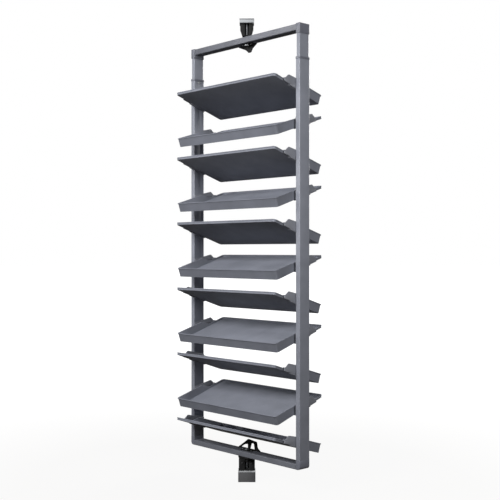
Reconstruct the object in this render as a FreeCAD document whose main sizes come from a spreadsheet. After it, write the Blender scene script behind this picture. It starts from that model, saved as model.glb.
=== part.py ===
"""Rotating shoe tower: a telescopic frame with eleven tilted trays that turns
between a floor bracket and a ceiling bracket.

Frame of reference: millimetres, +Z up, +X along the crossbars, +Y from the
front of the rack to its back. The origin is on the turning axis, on the floor.
"""
import FreeCAD, Part
import math
import os
import re
import Sketcher

doc = FreeCAD.newDocument("RotatingShoeTower")
sheet = doc.addObject("Spreadsheet::Sheet", "Sizes")

# Every size that can be set by itself, with what it measures.
SIZES = {
    # whole tower, at the height the frame is set to
    "frame_width": (730, "over the outer faces of the uprights"),
    "frame_height": (1898, "underside of bottom crossbar to top of top corners"),
    "floor_gap": (111, "floor to underside of bottom crossbar"),
    "head_gap": (80, "top of top corners to ceiling"),
    "bracket_turn": (47.5, "degrees from the room's brackets to the rack"),
    # tubes of the frame
    "upright_width": (24, "outer tube along the crossbars"),
    "upright_depth": (60, "outer tube, front to back"),
    "upright_wall": (2, "outer tube wall"),
    "upright_radius": (3, "outer tube corner radius"),
    "sliding_gap": (0.5, "between outer and inner tube, each side"),
    "inner_wall": (1.5, "inner tube wall"),
    "inner_radius": (2, "inner tube corner radius"),
    "exposed_length": (99, "inner tube seen between collar and top corner"),
    "hidden_length": (250, "inner tube inside the outer tube"),
    "plug_height": (4, "slide shoe under the inner tube"),
    "plug_gap": (0.2, "slide shoe to outer tube wall"),
    "bottom_bar_height": (24, "bottom crossbar"),
    "top_bar_height": (27, "top crossbar"),
    "top_bar_depth": (49, "top crossbar, front to back"),
    "top_bar_drop": (1, "top crossbar below top of corners"),
    "bottom_corner_height": (40, "bottom corner, up the upright"),
    "bottom_bend_radius": (14, "outer bend of the bottom corner"),
    "top_corner_height": (43, "top corner block"),
    "spigot_length": (30, "corner tongue inside a tube"),
    "spigot_gap": (0.15, "corner tongue to tube wall"),
    "edge_bevel": (1.2, "broken edges of mouldings"),
    "collar_height": (10, "guide collar on the outer tube"),
    "collar_wall": (1.5, "guide collar skirt"),
    "collar_flange": (2, "guide collar above the tube end"),
    "collar_gap": (0.15, "guide collar to each tube"),
    "lock_drop": (16.5, "collar top to lock screw axis"),
    "lock_radius": (3, "lock screw shank"),
    "lock_head_radius": (5.5, "lock screw head"),
    "lock_head_height": (3.5, "lock screw head"),
    "lock_tip_gap": (0.2, "lock screw tip to inner tube"),
    "hole_gap": (0.2, "round hole to the screw or shaft in it"),
    # trays
    "tray_tilt": (18.5, "degrees of tray floor to the level"),
    "lowest_tray_rise": (64.5, "bottom crossbar to the middle of the lowest tray"),
    "highest_tray_drop": (142.5, "collar top to the middle of the highest tray"),
    "front_trays": (6, "trays with the high edge at the front"),
    "rear_trays": (5, "trays with the high edge at the back"),
    "tray_gap": (7, "tray rim to upright, each side"),
    "high_reach": (157, "axis to high edge, along the tray floor"),
    "low_reach": (137, "axis to low lip, along the tray floor"),
    "tray_floor": (3, "tray floor thickness"),
    "tray_wall": (3, "tray wall thickness"),
    "tray_radius": (13, "rim corner radius in plan"),
    "rim_width": (2.5, "rim outside the wall"),
    "rim_height": (4, "rim"),
    "high_edge": (11.5, "edge height at the high end"),
    "side_height": (38, "side wall where the full wall starts"),
    "lip_height": (42, "lip at the low end"),
    "step_start": (62, "axis to where the side wall starts to rise"),
    "step_end": (22, "axis to where the side wall is full"),
    # arms that carry the trays
    "arm_sheet": (3, "arm sheet thickness"),
    "arm_reach": (104, "axis to arm nose, along the tray floor"),
    "arm_shoulder": (87, "axis to arm shoulder, along the tray floor"),
    "arm_nose_height": (9, "arm nose above the tray's underside"),
    "arm_front_height": (36, "arm shoulder above the tray's underside"),
    "arm_back_height": (46, "arm at its back edge"),
    "arm_radius": (8, "round shoulder of the arm"),
    "arm_inset": (2, "arm back edge inside the upright's back face"),
    "ledge_width": (16, "arm ledge under the tray"),
    "ledge_reach": (64, "axis to the front of the ledge, along the tray floor"),
    "hook_length": (15, "arm hook, along the rim"),
    "hook_gap": (0.3, "arm hook above the rim"),
    # turning parts
    "spindle_radius": (6, "floor and ceiling spindles"),
    "running_gap": (0.05, "spindle to its bore, each side"),
    "spindle_foot": (14, "floor to lower end of the floor spindle"),
    "spindle_head": (8, "ceiling to upper end of the ceiling spindle"),
    "nut_height": (6, "spindle nut"),
    "nut_radius": (10.4, "spindle nut over its corners"),
    "nut_tail": (1, "spindle beyond its nut"),
    "bearing_height": (11, "floor housing to bottom crossbar"),
    "bearing_radius": (14, "thrust washer and spindle shoulder"),
    "washer_height": (4, "thrust washer"),
    "hub_width": (72, "dust guard under the bottom crossbar"),
    "hub_depth": (50, "dust guard, front to back"),
    "hub_height": (9.5, "dust guard"),
    "hub_radius": (9, "dust guard corners"),
    # yokes that spread the spindle's load into the crossbars
    "yoke_length": (72, "yoke foot along the crossbar"),
    "yoke_front": (12, "axis to the front edge of the yoke foot"),
    "yoke_back": (24, "axis to the back of the yoke"),
    "yoke_sheet": (4, "yoke cheek thickness"),
    "yoke_foot": (2, "yoke foot thickness"),
    "cheek_flare": (14, "hollow curve in a cheek's flank"),
    "lower_height": (47, "lower yoke's cheek"),
    "lower_left_end": (80, "axis to the left end of the lower cheek"),
    "lower_right_end": (66, "axis to the right end of the lower cheek"),
    "lower_crown_left": (14, "axis to the left end of the lower cheek's crown"),
    "lower_crown_right": (43, "axis to the right end of the lower cheek's crown"),
    "lower_crown_fall": (6, "lower cheek's crown, right end below the left end"),
    "lower_left_knee": (38, "axis to the turn in the lower cheek's left flank"),
    "lower_left_rise": (30, "height of that turn"),
    "lower_right_knee": (48, "axis to the turn in the lower cheek's right flank"),
    "lower_right_rise": (14, "height of that turn"),
    "upper_height": (36, "upper yoke's cheek"),
    "upper_left_end": (78, "axis to the left end of the upper cheek"),
    "upper_right_end": (43, "axis to the right end of the upper cheek"),
    "upper_crown_left": (11, "axis to the left end of the upper cheek's crown"),
    "upper_crown_right": (5, "axis to the right end of the upper cheek's crown"),
    "upper_crown_fall": (1, "upper cheek's crown, right end nearer the crossbar"),
    "upper_left_knee": (28, "axis to the turn in the upper cheek's left flank"),
    "upper_left_rise": (22, "depth of that turn"),
    "upper_right_knee": (15, "axis to the turn in the upper cheek's right flank"),
    "upper_right_rise": (19, "depth of that turn"),
    "window_foot": (5, "crossbar to the lower cheek's windows"),
    "window_reach": (60, "axis to the outer corner of the left window"),
    "window_rise": (24, "left window at the stem"),
    "stem_place": (8, "axis to the stem between the windows"),
    "stem_width": (15, "stem between the windows"),
    "leg_width": (18, "leg beside the right window"),
    "crown_width": (10, "crown over the right window"),
    # floor bracket
    "cover_side": (78, "square cover of the floor bracket"),
    "cover_height": (46.5, "cover of the floor bracket"),
    "cover_wall": (2, "cover wall"),
    "cover_gap": (0.3, "cover to plate and housing"),
    "floor_plate": (4, "floor plate thickness"),
    "floor_hole_square": (56, "side of the square of floor screws"),
    "housing_width": (73, "floor housing"),
    "housing_depth": (34, "floor housing, front to back"),
    "housing_radius": (7, "floor housing corners"),
    "slot_width": (17, "open front of a housing"),
    "slot_back": (9, "axis to the back of the open front"),
    "floor_slot_low": (53, "floor to the bottom of the open front"),
    "floor_slot_top": (8, "housing above the open front"),
    "fixing_radius": (2.5, "screw into floor or ceiling"),
    "fixing_gap": (0.25, "plate hole to the screw into floor or ceiling"),
    # ceiling bracket
    "head_side": (66, "square plate and cap of the ceiling bracket"),
    "head_plate": (5.5, "ceiling plate thickness"),
    "head_hole_square": (48, "side of the square of ceiling screws"),
    "cap_height": (13.5, "cap under the ceiling plate"),
    "head_housing_top": (60, "ceiling housing width at the plate"),
    "head_housing_foot": (40, "ceiling housing width at its foot"),
    "head_housing_depth": (32, "ceiling housing, front to back"),
    "head_housing_waist": (30, "height of the ceiling housing's taper"),
    "head_foot_gap": (6, "top of frame to ceiling housing"),
    "head_slot_foot": (5, "ceiling housing under its open front"),
}

for row, (name, (number, meaning)) in enumerate(SIZES.items(), start=1):
    sheet.set(f"A{row}", meaning)
    sheet.set(f"B{row}", str(number))
    sheet.setAlias(f"B{row}", name)
doc.recompute()

WORD = re.compile(r"\b[a-z][a-z_]+\b")
LEFT, RIGHT = -1, 1
FRONT, BACK = -1, 1
MARGIN = 1


def tied(formula):
    """Formula in size names, as an expression on the sheet's cells."""
    return WORD.sub(lambda word: f"Sizes.{word[0]}" if word[0] in SIZES else word[0], str(formula))


def value(formula):
    """Present number of a formula in size names."""
    return float(sheet.evalExpression(tied(formula)))


def update(*items):
    """Bring only these objects and what they rest on up to date."""
    doc.recompute(list(items))


def bind(item, **formulas):
    for name, formula in formulas.items():
        item.setExpression(name, tied(formula))


def put(item, x="0", y="0", z="0", yaw="0", pitch="0", roll="0"):
    """Place an object by formulas for its position and its turns in degrees."""
    bind(item, Placement=f"placement(vector({x}; {y}; {z}); rotation({yaw}; {pitch}; {roll}))")


def body(label, **place):
    made = doc.addObject("PartDesign::Body", label)
    put(made, **place)
    return made


def block(owner, name, length, width, height, cut=False, **place):
    """Box from its centre in X and Y and its lower face in Z."""
    kind = "SubtractiveBox" if cut else "AdditiveBox"
    made = owner.newObject(f"PartDesign::{kind}", name)
    bind(made, Length=length, Width=width, Height=height)
    x, y = place.pop("x", "0"), place.pop("y", "0")
    put(made, x=f"{x} - ({length}) / 2", y=f"{y} - ({width}) / 2", **place)
    update(made, owner)
    return made


def rod(owner, name, radius, height, cut=False, **place):
    """Cylinder from the middle of its lower end."""
    kind = "SubtractiveCylinder" if cut else "AdditiveCylinder"
    made = owner.newObject(f"PartDesign::{kind}", name)
    bind(made, Radius=radius, Height=height)
    put(made, **place)
    update(made, owner)
    return made


def origin_item(owner, role):
    return next(item for item in owner.Origin.OriginFeatures if item.Role == role)


def outline(owner, name, plane, points, offset="0", turn="0"):
    """Closed sketch with straight sides; each point is a pair of formulas."""
    sketch = owner.newObject("Sketcher::SketchObject", name)
    sketch.AttachmentSupport = [(origin_item(owner, plane), "")]
    sketch.MapMode = "FlatFace"
    bind(sketch, AttachmentOffset=f"placement(vector(0; 0; {offset}); rotation({turn}; 0; 0))")
    ends = [FreeCAD.Vector(value(x), value(y), 0) for x, y in points]
    count = len(ends)
    for number in range(count):
        sketch.addGeometry(Part.LineSegment(ends[number], ends[(number + 1) % count]))
    for number in range(count):
        sketch.addConstraint(Sketcher.Constraint("Coincident", number, 2, (number + 1) % count, 1))
    for number, formulas in enumerate(points):
        for axis, formula in zip("XY", formulas):
            size = ends[number][0 if axis == "X" else 1]
            place = sketch.addConstraint(Sketcher.Constraint(f"Distance{axis}", -1, 1, number, 1, size))
            sketch.renameConstraint(place, f"{axis.lower()}_{number}")
            sketch.setExpression(f"Constraints.{axis.lower()}_{number}", tied(formula))
    update(sketch)
    return sketch


def rounded_rectangle(owner, name, width, y_low, y_high, radius, height="0"):
    """Level sketch of a rectangle with round corners, centred in X."""
    sketch = owner.newObject("Sketcher::SketchObject", name)
    sketch.AttachmentSupport = [(origin_item(owner, "XY_Plane"), "")]
    sketch.MapMode = "FlatFace"
    bind(sketch, AttachmentOffset=f"placement(vector(0; 0; {height}); rotation(0; 0; 0))")
    half, low, high, bend = (value(size) for size in (f"({width}) / 2", y_low, y_high, radius))
    corners = [(half, low), (half, high), (-half, high), (-half, low)]
    for number, (x, y) in enumerate(corners):
        next_x, next_y = corners[(number + 1) % 4]
        along = FreeCAD.Vector(next_x - x, next_y - y, 0).normalize()
        across = FreeCAD.Vector(-along.y, along.x, 0)
        start = FreeCAD.Vector(x, y, 0) + along * bend
        end = FreeCAD.Vector(next_x, next_y, 0) - along * bend
        sketch.addGeometry(Part.LineSegment(start, end))
        heading = math.atan2(-across.y, -across.x)
        circle = Part.Circle(end + across * bend, FreeCAD.Vector(0, 0, 1), bend)
        sketch.addGeometry(Part.ArcOfCircle(circle, heading, heading + math.pi / 2))
    for number in range(4):
        line, arc, next_line = 2 * number, 2 * number + 1, (2 * number + 2) % 8
        sketch.addConstraint(Sketcher.Constraint("Tangent", line, 2, arc, 1))
        sketch.addConstraint(Sketcher.Constraint("Tangent", arc, 2, next_line, 1))
        sketch.addConstraint(Sketcher.Constraint("Vertical" if number % 2 == 0 else "Horizontal", line))
        if number:
            sketch.addConstraint(Sketcher.Constraint("Equal", 1, arc))
    sizes = [("bend", Sketcher.Constraint("Radius", 1, bend), radius),
             ("right", Sketcher.Constraint("DistanceX", -1, 1, 0, 1, half), f"({width}) / 2"),
             ("top", Sketcher.Constraint("DistanceY", -1, 1, 2, 1, high), y_high),
             ("left", Sketcher.Constraint("DistanceX", -1, 1, 4, 1, -half), f"-({width}) / 2"),
             ("bottom", Sketcher.Constraint("DistanceY", -1, 1, 6, 1, low), y_low)]
    for word, constraint, formula in sizes:
        sketch.renameConstraint(sketch.addConstraint(constraint), word)
        sketch.setExpression(f"Constraints.{word}", tied(formula))
    update(sketch)
    return sketch


def pad(owner, name, sketch, length, symmetric=True):
    made = owner.newObject("PartDesign::Pad", name)
    made.Profile = sketch
    made.SideType = "Symmetric" if symmetric else "One side"
    bind(made, Length=length)
    sketch.Visibility = False
    update(made, owner)
    return made


def pocket(owner, name, sketch, length, symmetric=True):
    """Cut to both sides of the sketch, or to the side behind its face."""
    made = owner.newObject("PartDesign::Pocket", name)
    made.Profile = sketch
    made.SideType = "Symmetric" if symmetric else "One side"
    bind(made, Length=length)
    sketch.Visibility = False
    update(made, owner)
    return made


def edges(feature, along, wanted):
    """Names of the feature's straight edges along an axis whose middle is wanted."""
    names = []
    for number, edge in enumerate(feature.Shape.Edges, start=1):
        if not isinstance(edge.Curve, Part.Line):
            continue
        way = edge.Curve.Direction
        if abs(abs(getattr(way, along)) - 1) > 1e-6:
            continue
        if wanted(edge.CenterOfGravity):
            names.append(f"Edge{number}")
    return names


def outline_edges(feature, wanted):
    """Names of the edges whose two ends and middle are all wanted."""
    names = []
    for number, edge in enumerate(feature.Shape.Edges, start=1):
        spots = [vertex.Point for vertex in edge.Vertexes] + [edge.CenterOfGravity]
        if all(wanted(spot) for spot in spots):
            names.append(f"Edge{number}")
    return names


def rim_edges(feature, height):
    """Names of all edges that lie at one height."""
    return outline_edges(feature, lambda point: abs(point.z - height) < 1e-4)


def rounded(owner, name, feature, names, radius):
    made = owner.newObject("PartDesign::Fillet", name)
    made.Base = (feature, names)
    bind(made, Radius=radius)
    update(made, owner)
    return made


def bevelled(owner, name, feature, names, size):
    made = owner.newObject("PartDesign::Chamfer", name)
    made.Base = (feature, names)
    bind(made, Size=size)
    update(made, owner)
    return made


def everywhere(middle):
    return True


def stacked(owner, name, step, count, features=()):
    """Repeat features, or else the whole body, upwards by equal steps."""
    made = owner.newObject("PartDesign::LinearPattern", name)
    if features:
        made.Originals = list(features)
    else:
        made.TransformMode = "Whole shape"
    made.Direction = (origin_item(owner, "Z_Axis"), [""])
    bind(made, Length=f"({step}) * ({count} - 1)", Occurrences=count)
    owner.Tip = made
    update(made, owner)
    return made


# Derived places, as formulas in the sizes above.
INNER_FACE = "(frame_width / 2 - upright_width)"
UPRIGHT_PLACE = "(frame_width / 2 - upright_width / 2)"
FRAME_TOP = "(floor_gap + frame_height)"
CEILING = f"({FRAME_TOP} + head_gap)"
COLLAR_TOP = f"({FRAME_TOP} - top_corner_height - exposed_length)"
UPRIGHT_TOP = f"({COLLAR_TOP} - collar_flange)"
UPRIGHT_FOOT = "(floor_gap + bottom_corner_height)"
INNER_WIDTH = "(upright_width - 2 * upright_wall - 2 * sliding_gap)"
INNER_DEPTH = "(upright_depth - 2 * upright_wall - 2 * sliding_gap)"
INNER_TOP = f"({FRAME_TOP} - top_corner_height)"
INNER_FOOT = f"({COLLAR_TOP} - hidden_length)"
BAR_LENGTH = "(frame_width - 2 * upright_width)"
TRAY_WIDTH = "(frame_width - 2 * upright_width - 2 * tray_gap)"
TOP_BAR_FOOT = f"({FRAME_TOP} - top_bar_drop - top_bar_height)"
BOTTOM_BAR_TOP = "(floor_gap + bottom_bar_height)"
LOWEST_FRONT = f"({BOTTOM_BAR_TOP} + lowest_tray_rise)"
TRAY_SPACING = f"(({COLLAR_TOP} - highest_tray_drop - {LOWEST_FRONT}) / (front_trays - 1))"
LOWEST_REAR = f"({LOWEST_FRONT} + {TRAY_SPACING} / 2)"
CHEEK_PLACE = "(yoke_sheet / 2 - yoke_back)"


# ---------------------------------------------------------------- frame tubes
def tube(label, width, depth, length, wall, radius, **place):
    """Upright rectangular tube with rounded outer corners."""
    made = body(label, **place)
    bar = block(made, f"{label}_bar", width, depth, length)
    bar = rounded(made, f"{label}_corners", bar, edges(bar, "z", everywhere), radius)
    block(made, f"{label}_bore", f"{width} - 2 * {wall}", f"{depth} - 2 * {wall}",
          f"{length} + 2 * {MARGIN}", cut=True, z=f"-{MARGIN}")
    return made


def outer_upright(label, side):
    """Outer tube with a hole in its inner face for the lock screw."""
    made = tube(label, "upright_width", "upright_depth", f"{UPRIGHT_TOP} - {UPRIGHT_FOOT}",
                "upright_wall", "upright_radius", x=f"{side} * {UPRIGHT_PLACE}", z=UPRIGHT_FOOT)
    wall_centre = f"{-side} * (upright_width - upright_wall) / 2"
    rod(made, f"{label}_lock_hole", "lock_radius + hole_gap", "2 * upright_wall", cut=True, pitch="90",
        x=f"{wall_centre} - upright_wall", z=f"{COLLAR_TOP} - lock_drop - {UPRIGHT_FOOT}")
    return made


def crossbar(label, depth, height, foot, wall, radius):
    """Level rectangular tube with a hole for the spindle through its middle."""
    made = body(label, z=foot)
    bar = block(made, f"{label}_bar", BAR_LENGTH, depth, height)
    bar = rounded(made, f"{label}_corners", bar, edges(bar, "x", everywhere), radius)
    block(made, f"{label}_bore", f"{BAR_LENGTH} + 2 * {MARGIN}", f"{depth} - 2 * {wall}",
          f"{height} - 2 * {wall}", cut=True, z=wall)
    rod(made, f"{label}_spindle_hole", "spindle_radius + hole_gap", f"{height} + 2 * {MARGIN}",
        cut=True, z=f"-{MARGIN}")
    return made


def bottom_corner(label, side):
    """Elbow with a round outer bend and a tongue in each of its two tubes."""
    made = body(label, x=f"{side} * {UPRIGHT_PLACE}", z="floor_gap")
    elbow = block(made, f"{label}_elbow", "upright_width", "upright_depth", "bottom_corner_height")
    bend = edges(elbow, "y", lambda middle: middle.z < 1 and side * middle.x > 0)
    elbow = rounded(made, f"{label}_bend", elbow, bend, "bottom_bend_radius")
    face = value("upright_depth / 2")
    rim = outline_edges(elbow, lambda point: abs(abs(point.y) - face) < 1e-4)
    bevelled(made, f"{label}_rim", elbow, rim, "edge_bevel")
    block(made, f"{label}_up", "upright_width - 2 * upright_wall - 2 * spigot_gap",
          "upright_depth - 2 * upright_wall - 2 * spigot_gap", "spigot_length", z="bottom_corner_height")
    block(made, f"{label}_along", "spigot_length", "upright_depth - 2 * upright_wall - 2 * spigot_gap",
          "bottom_bar_height - 2 * upright_wall - 2 * spigot_gap",
          x=f"{-side} * (upright_width / 2 + spigot_length / 2)", z="upright_wall + spigot_gap")
    return made


def top_corner(label, side):
    """Square corner block with a tongue in the inner tube and one in the crossbar."""
    made = body(label, x=f"{side} * {UPRIGHT_PLACE}", z=f"{FRAME_TOP} - top_corner_height")
    cube = block(made, f"{label}_cube", "upright_width", "upright_depth", "top_corner_height")
    crown = rim_edges(cube, cube.Shape.BoundBox.ZMax)
    bevelled(made, f"{label}_edges", cube, edges(cube, "z", everywhere) + crown, "edge_bevel")
    block(made, f"{label}_down", f"{INNER_WIDTH} - 2 * inner_wall - 2 * spigot_gap",
          f"{INNER_DEPTH} - 2 * inner_wall - 2 * spigot_gap", "spigot_length", z="-spigot_length")
    block(made, f"{label}_along", "spigot_length", "top_bar_depth - 2 * inner_wall - 2 * spigot_gap",
          "top_bar_height - 2 * inner_wall - 2 * spigot_gap",
          x=f"{-side} * (upright_width / 2 + spigot_length / 2)",
          z="top_corner_height - top_bar_drop - top_bar_height + inner_wall + spigot_gap")
    return made


def collar(label, side):
    """Moulded cap on the outer tube's end that guides the inner tube."""
    made = body(label, x=f"{side} * {UPRIGHT_PLACE}", z=f"{COLLAR_TOP} - collar_height")
    skin = "2 * collar_wall + 2 * collar_gap"
    ring = block(made, f"{label}_ring", f"upright_width + {skin}", f"upright_depth + {skin}", "collar_height")
    ring = bevelled(made, f"{label}_corners", ring, edges(ring, "z", everywhere), "upright_radius")
    bevelled(made, f"{label}_crown", ring, rim_edges(ring, ring.Shape.BoundBox.ZMax), "collar_wall / 2")
    block(made, f"{label}_seat", "upright_width + 2 * collar_gap", "upright_depth + 2 * collar_gap",
          f"collar_height - collar_flange + {MARGIN}", cut=True, z=f"-{MARGIN}")
    block(made, f"{label}_guide", f"{INNER_WIDTH} + 2 * collar_gap", f"{INNER_DEPTH} + 2 * collar_gap",
          f"collar_height + {MARGIN}", cut=True)
    return made


def slide_shoe(label, side):
    """Plug under the inner tube that slides in the outer tube."""
    made = body(label, x=f"{side} * {UPRIGHT_PLACE}", z=f"{INNER_FOOT} - plug_height")
    block(made, f"{label}_shoe", "upright_width - 2 * upright_wall - 2 * plug_gap",
          "upright_depth - 2 * upright_wall - 2 * plug_gap", "plug_height")
    block(made, f"{label}_tongue", f"{INNER_WIDTH} - 2 * inner_wall - 2 * spigot_gap",
          f"{INNER_DEPTH} - 2 * inner_wall - 2 * spigot_gap", "spigot_length / 2", z="plug_height")
    return made


def lock_screws(label):
    """One screw on each upright's inner face clamps the inner tube."""
    made = body(label, z=f"{COLLAR_TOP} - lock_drop")
    reach = "upright_wall + sliding_gap - lock_tip_gap"
    for side in (LEFT, RIGHT):
        outward = "90" if side == RIGHT else "-90"
        rod(made, f"{label}_head", "lock_head_radius", "lock_head_height", pitch=outward,
            x=f"{side} * ({INNER_FACE} - lock_head_height)")
        rod(made, f"{label}_shank", "lock_radius", reach, pitch=outward, x=f"{side} * {INNER_FACE}")
    return made


# ---------------------------------------------------------------- trays
def tray(label, facing, middle):
    """Moulded tray in its own tilted frame: +Y runs down the floor to the lip.

    The side walls are low at the high end, step up by the axis and grow into
    the lip, and a rim follows their upper edge all round.
    """
    yaw = "0" if facing == FRONT else "180"
    made = body(label, z=middle, yaw=yaw, roll="-tray_tilt")
    plan = rounded_rectangle(made, f"{label}_plan", f"{TRAY_WIDTH} - 2 * rim_width", "rim_width - high_reach",
                             "low_reach - rim_width", "tray_radius - rim_width")
    pad(made, f"{label}_blank", plan, "lip_height", symmetric=False)
    upper = [("-high_reach", "high_edge"), ("-step_start", "high_edge"),
             ("-step_end", "side_height"), ("low_reach", "lip_height")]
    beyond, over, under = f"low_reach + {MARGIN}", f"lip_height + {MARGIN}", f"-high_reach - {MARGIN}"
    waste = upper[1:3] + [(beyond, "lip_height"), (beyond, over), (under, over), (under, "high_edge")]
    trim = outline(made, f"{label}_trim_line", "YZ_Plane", waste)
    pocket(made, f"{label}_trim", trim, f"{TRAY_WIDTH} + {MARGIN}")
    lower = [(y, f"{z} - rim_height") for y, z in reversed(upper)]
    rim_line = outline(made, f"{label}_rim_line", "YZ_Plane", upper + lower)
    band = pad(made, f"{label}_rim", rim_line, TRAY_WIDTH)
    outermost = value(f"{TRAY_WIDTH} / 2 - rim_width / 2")
    band = rounded(made, f"{label}_rim_corners", band,
                   edges(band, "z", lambda point: abs(point.x) > outermost), "tray_radius")
    skin = "(rim_width + tray_wall)"
    inside = rounded_rectangle(made, f"{label}_inside", f"{TRAY_WIDTH} - 2 * {skin}", f"{skin} - high_reach",
                               f"low_reach - {skin}", f"tray_radius - {skin}", f"lip_height + {MARGIN}")
    pocket(made, f"{label}_hollow", inside, f"lip_height + {MARGIN} - tray_floor", symmetric=False)
    return made


def arms(label, side, facing):
    """Folded sheet arms, one per tray: web on the upright, ledge under the tray
    and a hook over the rim at the nose."""
    lowest, count = (LOWEST_FRONT, "front_trays") if facing == FRONT else (LOWEST_REAR, "rear_trays")
    # A rear arm is a front arm turned half round, so it stands at the other side.
    hand = side if facing == FRONT else -side
    made = body(label, z=lowest, yaw="0" if facing == FRONT else "180")
    back = "(upright_depth / 2 - arm_inset)"
    low_back = f"({back} + arm_sheet * sin(tray_tilt)) / cos(tray_tilt)"
    high_back = f"({back} - arm_back_height * sin(tray_tilt)) / cos(tray_tilt)"
    points = [("-arm_reach", "0"), ("-ledge_reach", "0"), ("-ledge_reach", "-arm_sheet"),
              (low_back, "-arm_sheet"), (high_back, "arm_back_height"),
              ("-arm_shoulder", "arm_front_height"), ("-arm_reach", "arm_nose_height")]
    web_place = f"{hand} * ({INNER_FACE} - arm_sheet / 2)"
    line = outline(made, f"{label}_web_line", "YZ_Plane", points, offset=web_place, turn="-tray_tilt")
    web = pad(made, f"{label}_web", line, "arm_sheet")
    shoulder_y = value("arm_front_height * sin(tray_tilt) - arm_shoulder * cos(tray_tilt)")
    shoulder = edges(web, "x", lambda point: abs(point.y - shoulder_y) < 1e-4)
    rounded(made, f"{label}_shoulder", web, shoulder, "arm_radius")
    tilted_block(made, f"{label}_ledge", hand, f"{INNER_FACE} - ledge_width", "ledge_width",
                 "-ledge_reach", f"ledge_reach + {back}", "-arm_sheet", "arm_sheet")
    tilted_block(made, f"{label}_hook", hand, f"{TRAY_WIDTH} / 2 - rim_width - tray_wall",
                 "tray_gap + rim_width + tray_wall", "-arm_reach", "hook_length",
                 "high_edge + hook_gap", "arm_sheet")
    stacked(made, f"{label}_stack", TRAY_SPACING, count)
    return made


def tilted_block(owner, name, hand, x_near, x_size, y_low, y_size, z_low, z_size):
    """Box in the tilted frame of a tray, on the right or mirrored to the left."""
    made = owner.newObject("PartDesign::AdditiveBox", name)
    bind(made, Length=x_size, Width=y_size, Height=z_size)
    x = x_near if hand == RIGHT else f"-({x_near}) - ({x_size})"
    put(made, x=x, y=f"({y_low}) * cos(tray_tilt) + ({z_low}) * sin(tray_tilt)",
        z=f"({z_low}) * cos(tray_tilt) - ({y_low}) * sin(tray_tilt)", roll="-tray_tilt")
    update(made, owner)
    return made


# ---------------------------------------------------------------- turning parts
def yoke(label, word, hand, **place):
    """Angle piece on a crossbar: a foot under the nut and a cheek behind it whose
    long left and short right flank run out along the crossbar."""
    made = body(label, **place)
    foot = block(made, f"{label}_foot", "yoke_length", "(yoke_front + yoke_back)", "yoke_foot",
                 y="(yoke_back - yoke_front) / 2")
    rounded(made, f"{label}_foot_corners", foot, edges(foot, "z", everywhere), "yoke_sheet")
    crown = [(f"{hand} * {word}_crown_right", f"{word}_height - {word}_crown_fall"),
             (f"{-hand} * {word}_crown_left", f"{word}_height")]
    knees = [(f"{hand} * {word}_right_knee", f"{word}_right_rise"),
             (f"{-hand} * {word}_left_knee", f"{word}_left_rise")]
    near, far = f"{hand} * {word}_right_end", f"{-hand} * {word}_left_end"
    points = [(far, "0"), (near, "0"), (near, "yoke_foot"), knees[0], *crown, knees[1], (far, "yoke_foot")]
    face = pad(made, f"{label}_cheek", outline(made, f"{label}_line", "XZ_Plane", points, offset=CHEEK_PLACE),
               "yoke_sheet")
    for name, turns, radius in (("crown", crown, "yoke_sheet"), ("flare", knees, "cheek_flare")):
        spots = [(value(x), value(z)) for x, z in turns]
        names = edges(face, "y", lambda point: any(math.hypot(point.x - x, point.z - z) < 0.01
                                                   for x, z in spots))
        face = rounded(made, f"{label}_{name}", face, names, radius)
    rod(made, f"{label}_spindle_hole", "spindle_radius + hole_gap", f"yoke_foot + 2 * {MARGIN}",
        cut=True, z=f"-{MARGIN}")
    return made


def open_windows(made):
    """Two windows in the lower yoke's cheek, beside a stem that widens upwards."""
    left, right = "(stem_place + stem_width / 2)", "(stem_width / 2 - stem_place)"
    top = "(lower_height - lower_crown_fall - crown_width)"
    windows = [[("-window_reach", "window_foot"), (f"-{left}", "window_foot"), (f"-{left}", "window_rise"),
                ("-lower_left_knee", "window_rise - window_foot")],
               [(right, "window_foot"), ("lower_right_knee - leg_width", "window_foot"),
                ("lower_crown_right - leg_width", top), (f"{right} + leg_width / 2", top)]]
    for corners in windows:
        line = outline(made, f"{made.Label}_window_line", "XZ_Plane", corners, offset=CHEEK_PLACE)
        pocket(made, f"{made.Label}_window", line, "2 * yoke_sheet")
    return made


def corners_of(half_x, half_y):
    return [(f"{a} * ({half_x})", f"{b} * ({half_y})") for a in (-1, 1) for b in (-1, 1)]


def hexagon(radius):
    """Corner points of a hexagon, as formulas of its radius over corners."""
    return [(f"{radius} * cos({60 * step})", f"{radius} * sin({60 * step})") for step in range(6)]


def nut(label, **place):
    made = body(label, **place)
    pad(made, f"{label}_hexagon", outline(made, f"{label}_line", "XY_Plane", hexagon("nut_radius")),
        "nut_height", symmetric=False)
    rod(made, f"{label}_thread", "spindle_radius + running_gap", f"nut_height + 2 * {MARGIN}",
        cut=True, z=f"-{MARGIN}")
    return made


def ring(label, outer, inner, height, **place):
    made = body(label, **place)
    rod(made, f"{label}_disc", outer, height)
    rod(made, f"{label}_bore", inner, f"{height} + 2 * {MARGIN}", cut=True, z=f"-{MARGIN}")
    return made


# ---------------------------------------------------------------- floor and ceiling brackets
def square_plate(label, side, thickness, holes, **place):
    """Square plate with four screw holes."""
    made = body(label, **place)
    block(made, f"{label}_plate", side, side, thickness)
    for x, y in corners_of(f"{holes} / 2", f"{holes} / 2"):
        rod(made, f"{label}_hole", "fixing_radius + fixing_gap", f"{thickness} + 2 * {MARGIN}",
            cut=True, x=x, y=y, z=f"-{MARGIN}")
    return made


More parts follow.
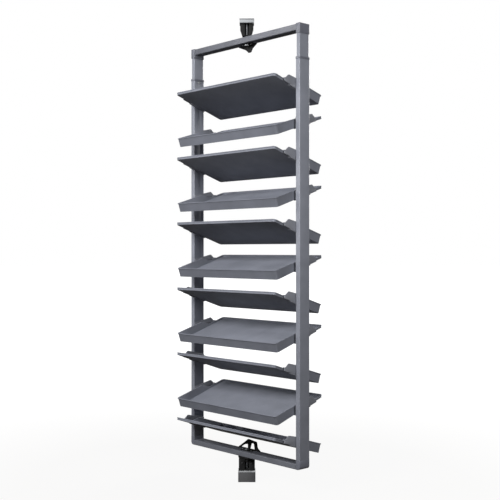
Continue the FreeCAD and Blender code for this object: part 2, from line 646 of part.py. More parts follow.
def hood(label, side, height, opening_width, opening_depth, upside, **place):
    """Thin square cover, open towards the room's surface, cut out for the housing."""
    made = body(label, **place)
    shell = block(made, f"{label}_shell", side, side, height)
    brim = rim_edges(shell, shell.Shape.BoundBox.ZMax if upside else shell.Shape.BoundBox.ZMin)
    bevelled(made, f"{label}_edges", shell, edges(shell, "z", everywhere) + brim, "edge_bevel")
    block(made, f"{label}_hollow", f"{side} - 2 * cover_wall", f"{side} - 2 * cover_wall",
          f"{height} - cover_wall + {MARGIN}", cut=True, z=f"-{MARGIN}" if upside else "cover_wall")
    block(made, f"{label}_opening", f"{opening_width} + 2 * cover_gap", f"{opening_depth} + 2 * cover_gap",
          f"{height} + 2 * {MARGIN}", cut=True, z=f"-{MARGIN}")
    return made


def floor_housing(label):
    """Moulded block on the floor plate that guides the spindle and carries the
    thrust washer; its open front shows the spindle."""
    height = "(floor_gap - bearing_height - floor_plate)"
    made = body(label, z="floor_plate", yaw="bracket_turn")
    core = block(made, f"{label}_block", "housing_width", "housing_depth", height)
    rounded(made, f"{label}_corners", core, edges(core, "z", everywhere), "housing_radius")
    block(made, f"{label}_front", "slot_width", "housing_depth / 2 + slot_back",
          f"{height} - (floor_slot_low - floor_plate) - floor_slot_top", cut=True,
          y="(slot_back - housing_depth / 2) / 2", z="floor_slot_low - floor_plate")
    rod(made, f"{label}_bore", "spindle_radius + running_gap", f"{height} - spindle_foot + 2 * floor_plate",
        cut=True, z="spindle_foot - 2 * floor_plate")
    return made


def ceiling_housing(label):
    """Moulded block under the ceiling plate, tapered to its foot and open in
    front of the spindle."""
    height = "(head_gap - head_plate - head_foot_gap)"
    made = body(label, z=f"{FRAME_TOP} + head_foot_gap", yaw="bracket_turn")
    points = [("-head_housing_foot / 2", "0"), ("head_housing_foot / 2", "0"),
              ("head_housing_top / 2", "head_housing_waist"), ("head_housing_top / 2", height),
              ("-head_housing_top / 2", height), ("-head_housing_top / 2", "head_housing_waist")]
    profile = outline(made, f"{label}_line", "XZ_Plane", points)
    core = pad(made, f"{label}_block", profile, "head_housing_depth")
    waist = value("head_housing_waist")
    sides = edges(core, "y", lambda point: abs(point.z - waist) < 0.01)
    rounded(made, f"{label}_waist", core, sides, "head_housing_waist / 2")
    block(made, f"{label}_front", "slot_width", "head_housing_depth / 2 + slot_back",
          f"{height} - head_slot_foot - cap_height", cut=True,
          y="(slot_back - head_housing_depth / 2) / 2", z="head_slot_foot")
    rod(made, f"{label}_bore", "spindle_radius + running_gap",
        f"{height} - spindle_head + head_plate + {MARGIN}", cut=True, z=f"-{MARGIN}")
    return made


def floor_parts():
    """Bracket on the floor, turned to the room."""
    inside = "(cover_side - 2 * cover_wall - 2 * cover_gap)"
    return [square_plate("floor_plate_steel", inside, "floor_plate", "floor_hole_square", yaw="bracket_turn"),
            floor_housing("floor_housing"),
            hood("floor_cover", "cover_side", "cover_height", "housing_width", "housing_depth", True,
                 yaw="bracket_turn"),
            ring("thrust_washer", "bearing_radius", "spindle_radius + 2 * hole_gap", "washer_height",
                 z="floor_gap - bearing_height")]


def ceiling_parts():
    """Bracket on the ceiling, turned to the room."""
    plate_foot = f"{CEILING} - head_plate"
    return [square_plate("ceiling_plate", "head_side", "head_plate", "head_hole_square", z=plate_foot,
                         yaw="bracket_turn"),
            ceiling_housing("ceiling_housing"),
            hood("ceiling_cap", "head_side", "cap_height", "head_housing_top", "head_housing_depth", False,
                 z=f"{plate_foot} - cap_height", yaw="bracket_turn")]


def tower_parts():
    """Everything that turns with the lower frame."""
    spindle_top = f"{BOTTOM_BAR_TOP} + yoke_foot + nut_height + nut_tail"
    made = []
    guard = body("hub_guard", z="floor_gap - hub_height")
    skirt = block(guard, "hub_guard_skirt", "hub_width", "hub_depth", "hub_height")
    rounded(guard, "hub_guard_corners", skirt, edges(skirt, "z", everywhere), "hub_radius")
    rod(guard, "hub_guard_well", "bearing_radius + 2 * hole_gap", f"hub_height + 2 * {MARGIN}",
        cut=True, z=f"-{MARGIN}")
    made.append(guard)
    shaft = body("floor_spindle", z="spindle_foot")
    rod(shaft, "floor_spindle_shaft", "spindle_radius", f"{spindle_top} - spindle_foot")
    shoulder = "(bearing_height - washer_height - running_gap)"
    rod(shaft, "floor_spindle_shoulder", "bearing_radius", shoulder,
        z=f"floor_gap - {shoulder} - spindle_foot")
    made.append(shaft)
    made.append(nut("floor_spindle_nut", z=f"{BOTTOM_BAR_TOP} + yoke_foot"))
    made.append(open_windows(yoke("lower_yoke", "lower", RIGHT, z=BOTTOM_BAR_TOP)))
    made.append(crossbar("bottom_crossbar", "upright_depth", "bottom_bar_height", "floor_gap",
                         "upright_wall", "upright_radius"))
    for side, word in ((LEFT, "left"), (RIGHT, "right")):
        made.append(bottom_corner(f"bottom_corner_{word}", side))
        made.append(outer_upright(f"outer_upright_{word}", side))
        made.append(collar(f"guide_collar_{word}", side))
        made.append(arms(f"front_arms_{word}", side, FRONT))
        made.append(arms(f"rear_arms_{word}", side, BACK))
    made.append(lock_screws("height_lock_screws"))
    # The lowest tray and every second one above it have the high edge at the front.
    for number in range(int(value("front_trays"))):
        made.append(tray(f"front_tray_{number + 1}", FRONT, f"{LOWEST_FRONT} + {TRAY_SPACING} * {number}"))
    for number in range(int(value("rear_trays"))):
        made.append(tray(f"rear_tray_{number + 1}", BACK, f"{LOWEST_REAR} + {TRAY_SPACING} * {number}"))
    return made


def head_parts():
    """Upper frame that slides in the uprights."""
    made = []
    for side, word in ((LEFT, "left"), (RIGHT, "right")):
        made.append(tube(f"inner_tube_{word}", INNER_WIDTH, INNER_DEPTH, f"{INNER_TOP} - {INNER_FOOT}",
                         "inner_wall", "inner_radius", x=f"{side} * {UPRIGHT_PLACE}", z=INNER_FOOT))
        made.append(slide_shoe(f"slide_shoe_{word}", side))
        made.append(top_corner(f"top_corner_{word}", side))
    made.append(crossbar("top_crossbar", "top_bar_depth", "top_bar_height", TOP_BAR_FOOT,
                         "inner_wall", "upright_radius"))
    # Turned over about Y, so its right flank is drawn on the left.
    made.append(yoke("upper_yoke", "upper", LEFT, z=TOP_BAR_FOOT, pitch="180"))
    nut_seat = f"({TOP_BAR_FOOT} - yoke_foot)"
    shaft = body("ceiling_spindle", z=f"{nut_seat} - nut_height - nut_tail")
    rod(shaft, "ceiling_spindle_shaft", "spindle_radius",
        f"{CEILING} - spindle_head - {nut_seat} + nut_height + nut_tail")
    made.append(shaft)
    made.append(nut("ceiling_spindle_nut", z=f"{nut_seat} - nut_height"))
    return made


def check(subparts):
    """Stop unless every feature is sound and every sub-part is a valid shape."""
    doc.recompute()
    for item in doc.Objects:
        if "Invalid" in item.State or "Error" in item.State:
            raise RuntimeError(f"{item.Name} failed: {item.State}")
    for subpart in subparts:
        if subpart.Shape.isNull() or not subpart.Shape.isValid():
            raise RuntimeError(f"{subpart.Label} has no valid shape")


subparts = floor_parts() + tower_parts() + head_parts() + ceiling_parts()
check(subparts)
os.makedirs("parts", exist_ok=True)
for subpart in subparts:
    subpart.Shape.exportStep(f"parts/{subpart.Label}.step")
print(f"{len(subparts)} sub-parts")
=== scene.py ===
"""Rotating shoe tower: grey telescopic frame with tilted trays between two brackets."""
import math

import bpy
from mathutils import Matrix, Vector


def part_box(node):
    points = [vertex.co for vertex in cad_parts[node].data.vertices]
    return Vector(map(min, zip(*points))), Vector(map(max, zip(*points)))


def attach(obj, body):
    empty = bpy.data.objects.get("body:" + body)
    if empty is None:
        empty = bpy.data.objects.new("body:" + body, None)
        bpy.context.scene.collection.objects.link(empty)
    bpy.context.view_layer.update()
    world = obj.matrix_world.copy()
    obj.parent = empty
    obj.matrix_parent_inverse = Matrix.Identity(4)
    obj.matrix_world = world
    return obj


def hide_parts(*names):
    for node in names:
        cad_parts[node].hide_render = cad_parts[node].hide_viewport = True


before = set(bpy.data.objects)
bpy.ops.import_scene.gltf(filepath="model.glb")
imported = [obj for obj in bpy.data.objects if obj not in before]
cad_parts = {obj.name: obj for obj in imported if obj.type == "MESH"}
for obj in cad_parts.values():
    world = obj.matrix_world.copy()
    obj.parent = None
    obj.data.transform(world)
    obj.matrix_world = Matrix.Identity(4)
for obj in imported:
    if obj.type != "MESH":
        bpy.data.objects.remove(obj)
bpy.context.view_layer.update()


# ------------------------------------------------------------------ frame tubes
# Rectangular steel tubes, powder-coated in a satin blue-grey. The wide uprights
# and the bottom crossbar make the lower frame; the narrow inner tubes and the top
# crossbar make the upper one that slides in it. The crossbars carry a darker copy
# of the same coat as painted shade.
class Shade:
    """A value, colour or vector on its way through the nodes of one finish."""

    def __init__(self, tree, socket):
        self.tree = tree
        self.socket = socket

    def node(self, kind, inputs, output=0, **settings):
        """Any node: its settings first, then its inputs by name or number."""
        made = self.tree.nodes.new(kind)
        for name, setting in settings.items():
            setattr(made, name, setting)
        for name, given in inputs.items():
            if isinstance(given, Shade):
                self.tree.links.new(given.socket, made.inputs[name])
            else:
                made.inputs[name].default_value = given
        return Shade(self.tree, made.outputs[output])

    def maths(self, operation, first, second):
        return self.node("ShaderNodeMath", {0: first, 1: second}, operation=operation)

    def __add__(self, other):
        return self.maths("ADD", self, other)

    def __rsub__(self, other):
        return self.maths("SUBTRACT", other, self)

    def __mul__(self, other):
        return self.maths("MULTIPLY", self, other)

    def noise(self, scale, detail):
        """Soft noise from 0 to 1, with scale in waves per metre."""
        inputs = {"Vector": self, "Scale": scale, "Detail": detail}
        return self.node("ShaderNodeTexNoise", inputs, "Fac")

    def between(self, low, high):
        """Where a noise lies between two of its values, from 0 to 1."""
        inputs = {"Value": self, "From Min": low, "From Max": high}
        return self.node("ShaderNodeMapRange", inputs, clamp=True)

    def blend(self, first, second):
        """First colour where this value is 0, second colour where it is 1."""
        return self.node("ShaderNodeMix", {0: self, 6: first, 7: second}, 2, data_type="RGBA")

    def into(self, shader, socket):
        self.tree.links.new(self.socket, shader.inputs[socket])

    def relief(self, shader, depth, strength):
        """Bump of a given depth in metres, on the shader's normal."""
        inputs = {"Height": self, "Distance": depth, "Strength": strength}
        self.node("ShaderNodeBump", inputs).into(shader, "Normal")


def colour(red, green, blue):
    """Linear colour of display values from 0 to 255."""
    display = (channel / 255 for channel in (red, green, blue))
    linear = [c / 12.92 if c <= 0.04045 else ((c + 0.055) / 1.055) ** 2.4 for c in display]
    return (*linear, 1.0)


def new_finish(name, **numbers):
    """Material with plain numbers on its shader, and the coordinates for its patterns."""
    material = bpy.data.materials.new(name)
    material.use_nodes = True
    tree = material.node_tree
    shader = tree.nodes["Principled BSDF"]
    for socket, number in numbers.items():
        shader.inputs[socket.replace("_", " ")].default_value = number
    return material, shader, Shade(tree, tree.nodes.new("ShaderNodeTexCoord").outputs["Object"])


def drifting(place, shade_low, shade_high):
    """Colour that drifts slowly between two shades."""
    tone = place.noise(scale=14, detail=3).between(0.3, 0.7)
    return tone.blend(shade_low, shade_high)


def grained(shader, place, roughness, grain):
    """Fine grain, in waves per metre, in the roughness and the relief of a face."""
    fine = place.noise(grain, detail=2)
    (fine * GRAIN_ROUGHNESS + (roughness - GRAIN_ROUGHNESS / 2)).into(shader, "Roughness")
    fine.relief(shader, depth=0.00025, strength=0.35)


def coated(name, shade_low, shade_high, roughness, grain):
    """Satin coat or moulding: slow change of tone, fine grain."""
    material, shader, place = new_finish(name, IOR=COAT_IOR)
    drifting(place, shade_low, shade_high).into(shader, "Base Color")
    grained(shader, place, roughness, grain)
    return material


def pick(chosen):
    """Select one object alone and make it the active one."""
    bpy.ops.object.select_all(action="DESELECT")
    chosen.select_set(True)
    bpy.context.view_layer.objects.active = chosen


def apply(piece, kind, **settings):
    """Add a modifier to a piece and apply it."""
    pick(piece)
    bpy.ops.object.modifier_add(type=kind)
    modifier = piece.modifiers[-1]
    for name, setting in settings.items():
        setattr(modifier, name, setting)
    bpy.ops.object.modifier_apply(modifier=modifier.name)


def dress(piece, material, body):
    """Give a piece its finish and let it ride on its body."""
    piece.data.materials.clear()
    piece.data.materials.append(material)
    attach(piece, body)


def broken_edges(node, width, material, body):
    """Copy of a solid with its hard edges rounded, in place of the solid."""
    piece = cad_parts[node].copy()
    piece.data = piece.data.copy()
    piece.name = f"{node}_finished"
    for mark in list(piece.keys()):
        del piece[mark]
    piece.parent = None
    bpy.context.scene.collection.objects.link(piece)
    pick(piece)
    bpy.ops.object.mode_set(mode="EDIT")
    bpy.ops.mesh.select_all(action="SELECT")
    bpy.ops.mesh.remove_doubles(threshold=WELD)
    bpy.ops.mesh.dissolve_limited(angle_limit=FLAT_ANGLE)
    bpy.ops.object.mode_set(mode="OBJECT")
    apply(piece, "BEVEL", width=width, segments=2, limit_method="ANGLE", angle_limit=HARD_ANGLE,
          use_clamp_overlap=True, miter_outer="MITER_ARC")
    bpy.ops.object.shade_smooth_by_angle(angle=SMOOTH_ANGLE)
    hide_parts(node)
    dress(piece, material, body)


COAT_IOR = 1.5
GRAIN_ROUGHNESS = 0.12
POWDER_GRAIN = 1400
POWDER_ROUGHNESS = 0.42
FRAME_DARK = colour(122, 125, 134)
FRAME_LIGHT = colour(132, 135, 145)
# Painted shade: a darker copy of the frame's coat for the two crossbars.
BAR_PAINTED_SHADE_DARK = colour(92, 94, 101)
BAR_PAINTED_SHADE_LIGHT = colour(101, 103, 111)
WELD = 2e-6
FLAT_ANGLE = math.radians(0.5)
HARD_ANGLE = math.radians(30)
SMOOTH_ANGLE = math.radians(32)
TUBE_EDGE = 0.0006
frame_coat = coated("frame_powder_coat", FRAME_DARK, FRAME_LIGHT, POWDER_ROUGHNESS, POWDER_GRAIN)
for side in ("left", "right"):
    broken_edges(f"outer_upright_{side}", TUBE_EDGE, frame_coat, "tower")
    broken_edges(f"inner_tube_{side}", TUBE_EDGE, frame_coat, "head_frame")
# The crossbars' coat is the frame's coat darkened as painted shade.
bar_coat_painted_shade = coated("crossbar_coat_painted_shade", BAR_PAINTED_SHADE_DARK, BAR_PAINTED_SHADE_LIGHT, POWDER_ROUGHNESS, POWDER_GRAIN)
broken_edges("bottom_crossbar", TUBE_EDGE, bar_coat_painted_shade, "tower")
broken_edges("top_crossbar", TUBE_EDGE, bar_coat_painted_shade, "head_frame")


# ------------------------------------------------------------------ corners and collars
# Injection-moulded corners, guide collars and slide shoes, a little darker, more
# violet and silkier than the powder coat, with slightly rounded edges.
CORNER_DARK = colour(98, 100, 109)
CORNER_LIGHT = colour(108, 110, 120)
CORNER_EDGE = 0.0008
COLLAR_EDGE = 0.0004
SHOE_EDGE = 0.0003
corner_moulding = coated("corner_moulding", CORNER_DARK, CORNER_LIGHT, roughness=0.36, grain=2200)
for side in ("left", "right"):
    broken_edges(f"bottom_corner_{side}", CORNER_EDGE, corner_moulding, "tower")
    broken_edges(f"guide_collar_{side}", COLLAR_EDGE, corner_moulding, "tower")
    broken_edges(f"slide_shoe_{side}", SHOE_EDGE, corner_moulding, "head_frame")
    broken_edges(f"top_corner_{side}", CORNER_EDGE, corner_moulding, "head_frame")


# ------------------------------------------------------------------ trays
# Shallow one-piece mouldings in grey plastic with a fine pebbled grain, faintly
# silkier where shoes slide on them, with a rim round the upper edge.
TRAY_DARK = colour(112, 115, 124)
TRAY_LIGHT = colour(123, 126, 136)
TRAY_SHEEN = 0.3
TRAY_ROUGHNESS = 0.5
RUBBED_SMOOTHER = 0.06
PEBBLE_ROUGHNESS = 0.08
PEBBLES_PER_METRE = 900.0
TRAY_EDGE = 0.0009
FRONT_TRAYS = 6
REAR_TRAYS = 5


def tray_moulding():
    """Grey plastic with a pebbled grain and patches that are rubbed silkier."""
    material, shader, place = new_finish("tray_moulding", IOR=1.49, Specular_IOR_Level=TRAY_SHEEN)
    tone = place.noise(scale=9, detail=3).between(0.3, 0.7)
    tone.blend(TRAY_DARK, TRAY_LIGHT).into(shader, "Base Color")
    pebbles = place.node("ShaderNodeTexVoronoi", {"Vector": place, "Scale": PEBBLES_PER_METRE},
                         "Distance", feature="SMOOTH_F1")
    rubbed = place.noise(scale=22, detail=4).between(0.45, 0.75)
    (TRAY_ROUGHNESS - rubbed * RUBBED_SMOOTHER + pebbles * PEBBLE_ROUGHNESS).into(shader, "Roughness")
    pebbles.relief(shader, depth=0.0003, strength=0.4)
    return material


tray_plastic = tray_moulding()
trays = [f"front_tray_{number + 1}" for number in range(FRONT_TRAYS)]
trays += [f"rear_tray_{number + 1}" for number in range(REAR_TRAYS)]
for tray in trays:
    broken_edges(tray, TRAY_EDGE, tray_plastic, "tower")


# ------------------------------------------------------------------ arms and their screws
# Folded sheet-steel arms in the frame's grey, one at each end of every tray, each
# held to its upright by two pan-head screws with a cross recess.
ARM_DARK = colour(112, 114, 121)
ARM_LIGHT = colour(122, 124, 132)
ARM_SHEET = 0.003
ARM_EDGE = 0.0005
SCREW_RADIUS = 0.0045
SCREW_RISE = 0.0022
SCREW_SIDES = 24
SCREW_ROUNDING = 0.45  # of the head's rise
RECESS_LENGTH = 1.1  # of the head's radius
RECESS_WIDTH = 0.24  # of the head's radius
SCREW_HEIGHTS = (0.012, 0.034)  # above the middle of the tray
TRAY_MIDDLE_UP = 0.04268  # from the tray's lowest point
CLOUD_ROUGHNESS = 0.2


def zinc(name, tint_low, tint_high, roughness):
    """Zinc-plated steel: cloudy tone and a faint brushed relief."""
    material, shader, place = new_finish(name, Metallic=1.0)
    cloud = place.noise(scale=160, detail=4)
    cloud.between(0.35, 0.65).blend(tint_low, tint_high).into(shader, "Base Color")
    (cloud * CLOUD_ROUGHNESS + (roughness - CLOUD_ROUGHNESS / 2)).into(shader, "Roughness")
    place.noise(scale=3000, detail=2).relief(shader, depth=0.0001, strength=0.25)
    return material


def cross_screw(radius, rise):
    """Pan head with a cross recess, standing on the origin with its top up."""
    bpy.ops.object.select_all(action="DESELECT")
    bpy.ops.mesh.primitive_cylinder_add(vertices=SCREW_SIDES, radius=radius, depth=rise,
                                        location=(0, 0, rise / 2))
    head = bpy.context.active_object
    bpy.ops.object.transform_apply(location=True, rotation=True, scale=True)
    bpy.ops.object.mode_set(mode="EDIT")
    bpy.ops.mesh.select_all(action="DESELECT")
    bpy.ops.object.mode_set(mode="OBJECT")
    for face in head.data.polygons:
        face.select = face.normal.z > 0.9
    bpy.ops.object.mode_set(mode="EDIT")
    bpy.ops.mesh.bevel(offset=rise * SCREW_ROUNDING, segments=3, affect="EDGES")
    bpy.ops.object.mode_set(mode="OBJECT")
    for turn in (0, math.pi / 2):
        bpy.ops.object.select_all(action="DESELECT")
        bpy.ops.mesh.primitive_cube_add(size=1, location=(0, 0, rise), rotation=(0, 0, turn))
        cutter = bpy.context.active_object
        cutter.scale = (radius * RECESS_LENGTH, radius * RECESS_WIDTH, rise)
        bpy.ops.object.transform_apply(location=True, rotation=True, scale=True)
        apply(head, "BOOLEAN", operation="DIFFERENCE", object=cutter, solver="EXACT")
        bpy.data.objects.remove(cutter)
    pick(head)
    bpy.ops.object.shade_smooth_by_angle(angle=math.radians(35))
    return head


def screw_group(name, model, spots, material, body):
    """Copies of one screw, each at (place, direction its head points), as one piece."""
    copies = []
    for place, way in spots:
        made = model.copy()
        made.data = model.data.copy()
        turn = Vector((0, 0, 1)).rotation_difference(Vector(way)).to_matrix().to_4x4()
        made.data.transform(Matrix.Translation(place) @ turn)
        bpy.context.scene.collection.objects.link(made)
        copies.append(made)
    bpy.ops.object.select_all(action="DESELECT")
    for made in copies:
        made.select_set(True)
    bpy.context.view_layer.objects.active = copies[0]
    if len(copies) > 1:
        bpy.ops.object.join()
    group = bpy.context.active_object
    group.name = name
    dress(group, material, body)
    return group


arm_coat = coated("arm_powder_coat", ARM_DARK, ARM_LIGHT, roughness=0.44, grain=POWDER_GRAIN)
zinc_plate = zinc("zinc_plate", colour(160, 162, 164), colour(192, 194, 197), roughness=0.42)
arm_screw = cross_screw(SCREW_RADIUS, SCREW_RISE)
for side, sign in (("left", -1), ("right", 1)):
    for row in ("front", "rear"):
        broken_edges(f"{row}_arms_{side}", ARM_EDGE, arm_coat, "tower")
    inner_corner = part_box(f"outer_upright_{side}")[0 if sign > 0 else 1]
    inner_face = inner_corner.x - sign * ARM_SHEET
    spots = [((inner_face, 0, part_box(tray)[0].z + TRAY_MIDDLE_UP + height), (-sign, 0, 0))
             for tray in trays for height in SCREW_HEIGHTS]
    screw_group(f"arm_screws_{side}", arm_screw, spots, zinc_plate, "tower")


# ------------------------------------------------------------------ lock screws
# One larger cross-head screw near the top of each upright's inner face clamps the
# inner tube at the height that the tower is set to.
LOCK_RADIUS = 0.0055
LOCK_RISE = 0.0035
lock_low, lock_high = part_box("height_lock_screws")
lock_height = (lock_low.z + lock_high.z) / 2
lock_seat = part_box("outer_upright_right")[0].x
lock_screw = cross_screw(LOCK_RADIUS, LOCK_RISE)
lock_spots = [((sign * lock_seat, 0, lock_height), (-sign, 0, 0)) for sign in (-1, 1)]
locks = screw_group("lock_screw_heads", lock_screw, lock_spots, zinc_plate, "tower")
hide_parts("height_lock_screws")


# ------------------------------------------------------------------ yokes and spindles
# Black glass-filled nylon yokes spread the load of the turned steel spindles into
# the crossbars; hexagon nuts hold the spindles on them.
BLACK_DEEP = colour(7, 7, 8)
BLACK_WORN = colour(17, 17, 18)
BLACK_ROUGHNESS = 0.62
FIBRE_ROUGHNESS = 0.2
RING_DARK = colour(132, 134, 137)
RING_LIGHT = colour(160, 162, 165)
RINGS = 1600.0
RING_ROUGHNESS = 0.08
TURNED_ROUGHNESS = 0.60
YOKE_SCREW_X = 0.026
YOKE_SCREW_Y = 0.004
YOKE_FOOT = 0.002
YOKE_EDGE = 0.0005
GUARD_EDGE = 0.0008
SPINDLE_EDGE = 0.0004
NUT_EDGE = 0.0005


def black_nylon():
    """Dull black nylon, clouded and faintly rough from its glass fibres."""
    material, shader, place = new_finish("black_nylon", IOR=1.4)
    fibre = place.noise(scale=700, detail=4)
    fibre.between(0.4, 0.75).blend(BLACK_DEEP, BLACK_WORN).into(shader, "Base Color")
    (fibre * FIBRE_ROUGHNESS + BLACK_ROUGHNESS).into(shader, "Roughness")
    fibre.relief(shader, depth=0.0002, strength=0.3)
    return material


def turned_steel():
    """Satin steel with the fine rings that turning leaves."""
    material, shader, place = new_finish("turned_steel", Metallic=1.0)
    rings = place.node("ShaderNodeTexWave", {"Vector": place, "Scale": RINGS, "Distortion": 1.5},
                       "Fac", bands_direction="Z")
    rings.blend(RING_DARK, RING_LIGHT).into(shader, "Base Color")
    (rings * RING_ROUGHNESS + TURNED_ROUGHNESS).into(shader, "Roughness")
    rings.relief(shader, depth=0.00004, strength=0.3)
    return material


black_moulding = black_nylon()
spindle_steel = turned_steel()
broken_edges("lower_yoke", YOKE_EDGE, black_moulding, "tower")
broken_edges("upper_yoke", YOKE_EDGE, black_moulding, "head_frame")
broken_edges("hub_guard", GUARD_EDGE, black_moulding, "tower")
broken_edges("floor_spindle", SPINDLE_EDGE, spindle_steel, "tower")
broken_edges("ceiling_spindle", SPINDLE_EDGE, spindle_steel, "head_frame")
broken_edges("floor_spindle_nut", NUT_EDGE, zinc_plate, "tower")
broken_edges("ceiling_spindle_nut", NUT_EDGE, zinc_plate, "head_frame")
for yoke, body, sign in (("lower_yoke", "tower", 1), ("upper_yoke", "head_frame", -1)):
    low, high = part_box(yoke)
    seat = low.z + YOKE_FOOT if sign > 0 else high.z - YOKE_FOOT
    spots = [((side * YOKE_SCREW_X, YOKE_SCREW_Y, seat), (0, 0, sign)) for side in (-1, 1)]
    screw_group(f"{yoke}_screws", arm_screw, spots, zinc_plate, body)


# ------------------------------------------------------------------ floor bracket
# Steel plate on the floor with a black nylon housing on it, open in front of the
# spindle, with two small dull screws in its face; a square grey cover, with a
# painted highlight along its upper edge, hides the plate.
BRACKET_TURN = math.radians(47.5)
COVER_DARK = colour(76, 76, 78)
COVER_LIGHT = colour(87, 87, 89)
COVER_ROUGHNESS = 0.56
COVER_GRAIN = 1800
# Painted highlight: the light band along the cover's top edge, its width and its fade.
COVER_PAINTED_HIGHLIGHT = colour(158, 160, 162)
HIGHLIGHT_BAND = 0.0020
HIGHLIGHT_FADE = 0.0006
DULL_ZINC_DARK = colour(74, 74, 76)
DULL_ZINC_LIGHT = colour(98, 98, 100)
HOUSING_HALF_DEPTH = 0.017
HOUSING_EDGE = 0.0006
COVER_EDGE = 0.0005
PLATE_EDGE = 0.0005
WASHER_EDGE = 0.0004
KEEPER_SPREAD = 0.0215
KEEPER_HEIGHT = 0.080
KEEPER_RADIUS = 0.004
KEEPER_RISE = 0.002


def moulding_with_painted_highlight(name, highlight_from):
    """Fine-grained moulding with a painted highlight on its uppermost edge, from a height up."""
    material, shader, place = new_finish(name, IOR=COAT_IOR)
    height = place.node("ShaderNodeSeparateXYZ", {"Vector": place}, "Z")
    # Painted highlight: a light band along the top edge, fading in just below it.
    painted_highlight = height.between(highlight_from, highlight_from + HIGHLIGHT_FADE)
    painted_highlight.blend(drifting(place, COVER_DARK, COVER_LIGHT), COVER_PAINTED_HIGHLIGHT).into(shader, "Base Color")
    grained(shader, place, COVER_ROUGHNESS, COVER_GRAIN)
    return material


cover_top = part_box("floor_cover")[1].z
cover_moulding = moulding_with_painted_highlight("cover_moulding", cover_top - HIGHLIGHT_BAND)
broken_edges("floor_plate_steel", PLATE_EDGE, zinc_plate, "floor_bracket")
broken_edges("floor_housing", HOUSING_EDGE, black_moulding, "floor_bracket")
broken_edges("floor_cover", COVER_EDGE, cover_moulding, "floor_bracket")
broken_edges("thrust_washer", WASHER_EDGE, black_moulding, "floor_bracket")
keeper_screw = cross_screw(KEEPER_RADIUS, KEEPER_RISE)
dull_zinc = zinc("black_zinc_plate", DULL_ZINC_DARK, DULL_ZINC_LIGHT, roughness=0.5)
along = Vector((math.cos(BRACKET_TURN), math.sin(BRACKET_TURN), 0))
outward = Vector((math.sin(BRACKET_TURN), -math.cos(BRACKET_TURN), 0))
face_middle = HOUSING_HALF_DEPTH * outward + Vector((0, 0, KEEPER_HEIGHT))
keeper_spots = [(face_middle + sign * KEEPER_SPREAD * along, outward) for sign in (-1, 1)]
screw_group("floor_housing_screws", keeper_screw, keeper_spots, dull_zinc,
            "floor_bracket")


# ------------------------------------------------------------------ ceiling bracket
# Primed steel plate under the ceiling, a light grey square cap under it and a
# tapered black nylon housing that guides the upper spindle.
CAP_DARK = colour(144, 147, 150)
CAP_LIGHT = colour(160, 163, 166)
PLATE_DARK = colour(106, 108, 111)
PLATE_LIGHT = colour(120, 122, 125)
cap_moulding = coated("cap_moulding", CAP_DARK, CAP_LIGHT, roughness=0.6, grain=COVER_GRAIN)
primed_steel = coated("primed_steel", PLATE_DARK, PLATE_LIGHT, roughness=0.6, grain=POWDER_GRAIN)
broken_edges("ceiling_plate", PLATE_EDGE, primed_steel, "ceiling_bracket")
broken_edges("ceiling_cap", COVER_EDGE, cap_moulding, "ceiling_bracket")
broken_edges("ceiling_housing", HOUSING_EDGE, black_moulding, "ceiling_bracket")
for model in (arm_screw, lock_screw, keeper_screw):
    bpy.data.objects.remove(model)


# ------------------------------------------------------------------ studio
# White floor and surroundings that keep the tower's shadow, broad lights in front
# and behind, a smaller one on the right, a narrow strip on the left for the gloss
# of the tubes, and a camera at standing chest height.
BACKDROP = colour(255, 255, 255)
FLOOR_DARK = colour(52, 47, 40)
FLOOR_LIGHT = colour(58, 53, 46)
FLOOR_RADIUS = 60
FLOOR_BELOW = 0.0005
FLOOR_FADE = (1.0, 6.0)  # metres from the axis, from the paper's shade to the glow
FLOOR_SEEN = 0.74
FLOOR_GLOW = 1.25
FLOOR_MIRRORED = 0.01
AMBIENT = 0.05
WORLD_MIRRORED = 0.08


def kinds_of_ray(tree):
    """1 for what the camera looks at, straight or through glass, and 1 for what faces mirror."""
    rays = tree.nodes.new("ShaderNodeLightPath")
    straight = Shade(tree, rays.outputs["Is Camera Ray"])
    through = Shade(tree, rays.outputs["Is Transmission Ray"])
    return straight + through, Shade(tree, rays.outputs["Is Glossy Ray"])


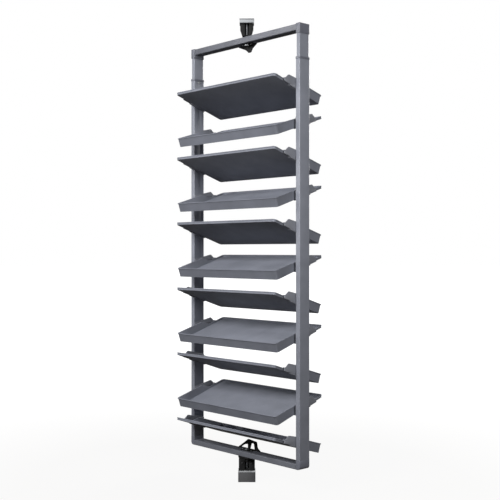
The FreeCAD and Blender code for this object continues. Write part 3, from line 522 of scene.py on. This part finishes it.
def studio_floor():
    """Plain floor: a dark one for the light it throws up, nearly white where it is looked at."""
    bpy.ops.object.select_all(action="DESELECT")
    bpy.ops.mesh.primitive_circle_add(vertices=96, radius=FLOOR_RADIUS, fill_type="NGON",
                                      location=(0, 0, -FLOOR_BELOW))
    floor = bpy.context.active_object
    floor.name = "studio_floor"
    material, shader, place = new_finish("studio_paper", Roughness=0.9)
    place.noise(scale=3, detail=2).blend(FLOOR_DARK, FLOOR_LIGHT).into(shader, "Base Color")
    tree = material.node_tree
    seen, mirrored = kinds_of_ray(tree)
    glow = tree.nodes.new("ShaderNodeEmission")
    glow.inputs["Color"].default_value = BACKDROP
    glow.inputs["Strength"].default_value = FLOOR_GLOW
    away = place.node("ShaderNodeVectorMath", {0: place}, "Value", operation="LENGTH")
    far = away.between(*FLOOR_FADE)
    both = tree.nodes.new("ShaderNodeMixShader")
    (seen * (far * (1 - FLOOR_SEEN) + FLOOR_SEEN) + mirrored * FLOOR_MIRRORED).into(both, 0)
    tree.links.new(shader.outputs[0], both.inputs[1])
    tree.links.new(glow.outputs[0], both.inputs[2])
    tree.links.new(both.outputs[0], tree.nodes["Material Output"].inputs["Surface"])
    floor.data.materials.append(material)


def studio_world():
    """White surroundings for the camera, dim ones for the light that they throw."""
    world = bpy.data.worlds.new("studio_world")
    bpy.context.scene.world = world
    world.use_nodes = True
    tree = world.node_tree
    background = tree.nodes["Background"]
    seen, mirrored = kinds_of_ray(tree)
    (seen * (1 - AMBIENT) + mirrored * WORLD_MIRRORED + AMBIENT).into(background, "Strength")
    background.inputs["Color"].default_value = BACKDROP


def lamp(name, place, target, width, height, watts):
    """Rectangular lamp that looks from its place at a target."""
    light = bpy.data.lights.new(name, "AREA")
    light.shape = "RECTANGLE"
    light.size = width
    light.size_y = height
    light.energy = watts
    stand = bpy.data.objects.new(name, light)
    bpy.context.scene.collection.objects.link(stand)
    stand.location = place
    stand.rotation_euler = (Vector(target) - Vector(place)).to_track_quat("-Z", "Y").to_euler()


studio_floor()
studio_world()
lamp("front_light", (0.4, -4.1, 3.2), (0.05, 0, 0.3), width=1.6, height=1.6, watts=266)
lamp("left_strip", (-1.95, -2.4, 2.2), (0.36, 0, 1.3), width=0.4, height=1.8, watts=22)
lamp("right_light", (3.8, -0.4, 2.2), (0.3, 0, 0.7), width=0.7, height=0.8, watts=82)
lamp("back_light", (-0.5, 3.5, 2.45), (0, 0, 0.8), width=1.4, height=1.4, watts=135)

CAMERA_PLACE = Vector((3.096, -2.820, 1.040))
VIEW_TURN = math.radians(47.5)
LENS_MM = 66.37
SENSOR_MM = 36
SHIFT_RIGHT = 0.0008
SHIFT_UP = 0.0022
camera_data = bpy.data.cameras.new("camera")
camera_data.lens = LENS_MM
camera_data.sensor_width = SENSOR_MM
camera_data.shift_x = SHIFT_RIGHT
camera_data.shift_y = SHIFT_UP
camera = bpy.data.objects.new("camera", camera_data)
bpy.context.scene.collection.objects.link(camera)
camera.location = CAMERA_PLACE
camera.rotation_euler = (math.pi / 2, 0, VIEW_TURN)
bpy.context.scene.camera = camera
bpy.context.scene.view_settings.view_transform = "Standard"
